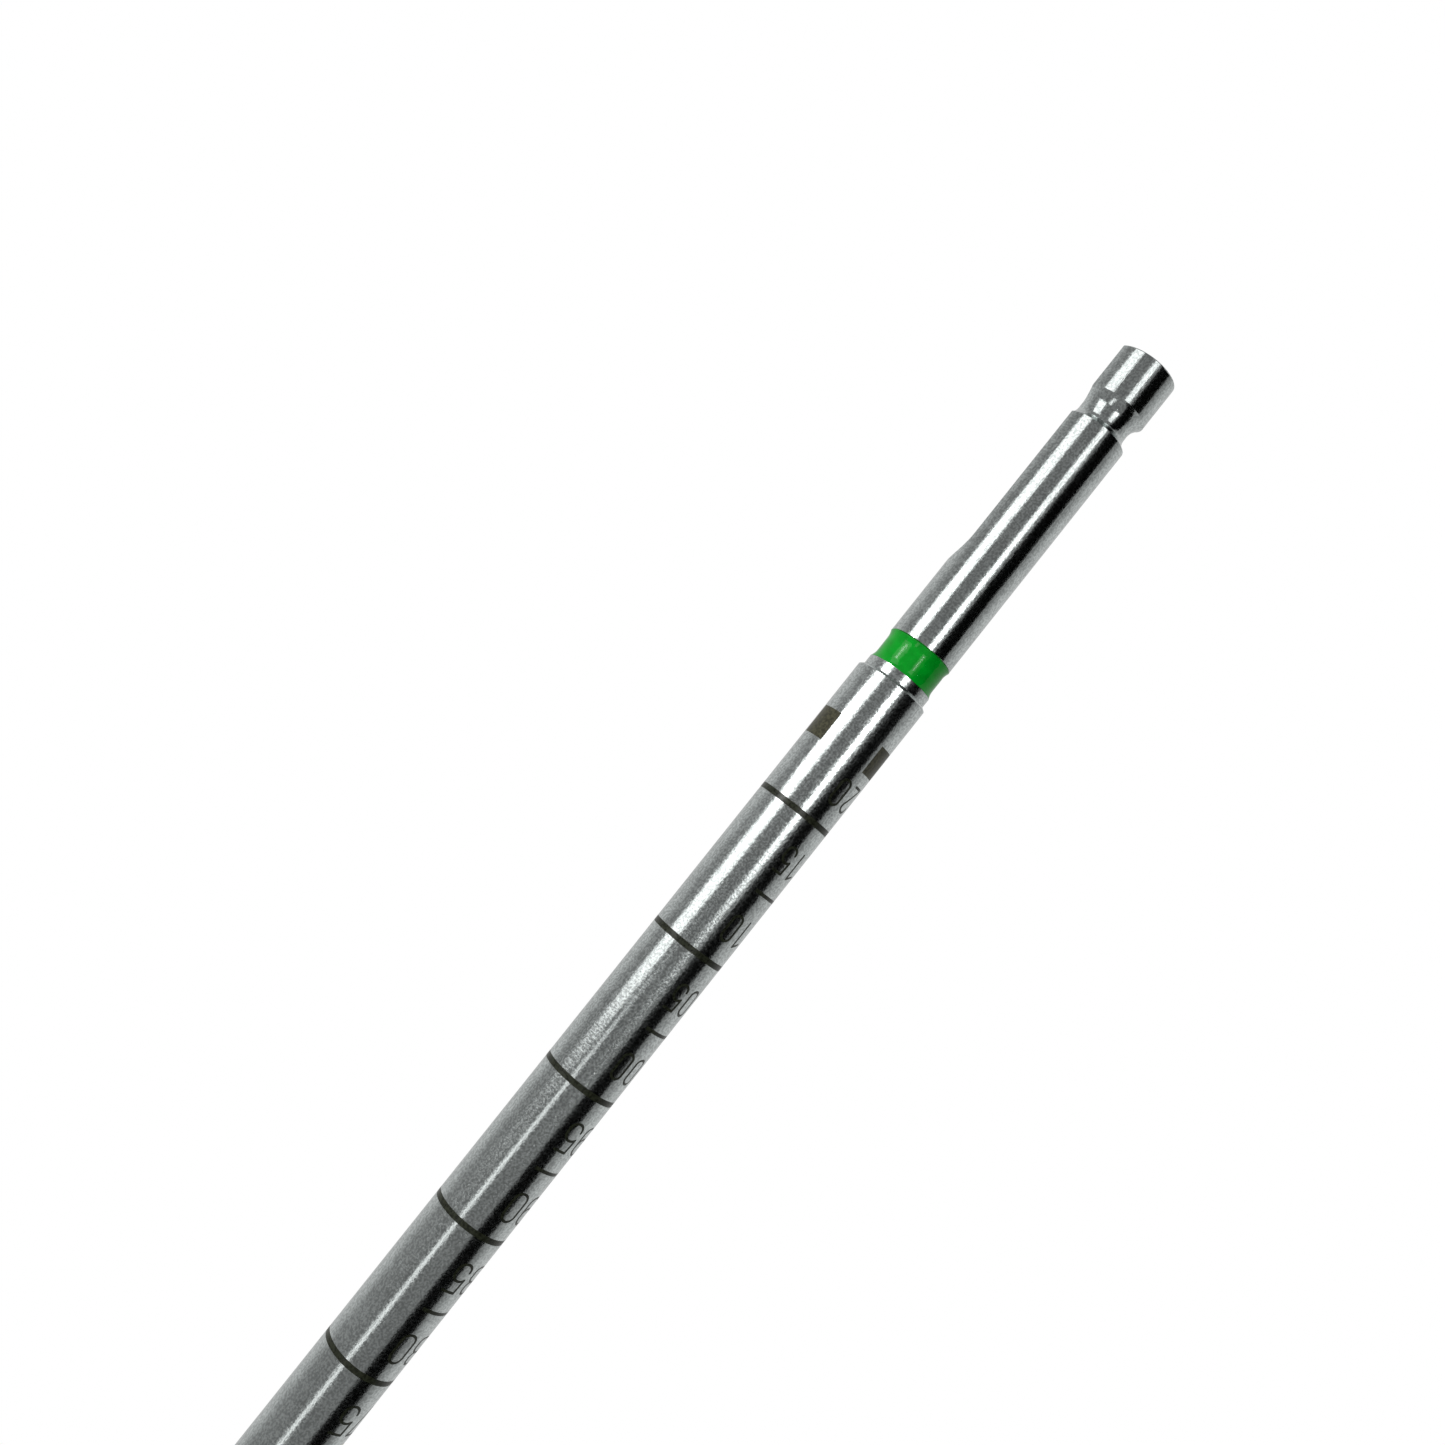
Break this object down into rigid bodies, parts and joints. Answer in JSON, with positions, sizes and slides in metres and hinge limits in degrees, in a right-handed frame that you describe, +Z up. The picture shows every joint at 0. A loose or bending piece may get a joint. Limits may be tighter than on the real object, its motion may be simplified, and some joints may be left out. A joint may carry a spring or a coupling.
{
  "type": "graduated surgical drill bit",
  "caption": "Slim steel surgical drill bit with a depth-graduated shaft, a green colour-code ring and a flatted quick-coupling shank.",
  "frame": {"origin": "centre of the coupling shank's flat end face", "axes": "+X along the tool's axis and out of the coupling end, so the cutting tip is at the far negative x; the depth scale faces -Y and the shank's flat is on the +Y side, its normal 12 degrees below +Y; +Z up"},
  "size_m": [0.1539, 0.0048, 0.0048],
  "materials": {
    "shaft_steel": "fine satin, centreless ground",
    "cutting_steel": "ground flutes",
    "shank_steel": "turned, semi-bright",
    "green_enamel": "glossy enamel",
    "laser_mark": "matt dark oxide",
    "square_mark": "matt dark oxide, a little lighter than the scale"
  },
  "bodies": {
    "root": {"graduated_shaft": "shaft_steel", "fluted_drill_end": "cutting_steel", "coupling_shank": "shank_steel", "colour_code_ring": "green_enamel", "ten_mm_rings": "laser_mark", "five_mm_ticks": "laser_mark", "depth_numerals": "laser_mark", "square_marks": "square_mark"}
  },
  "joints": []
}
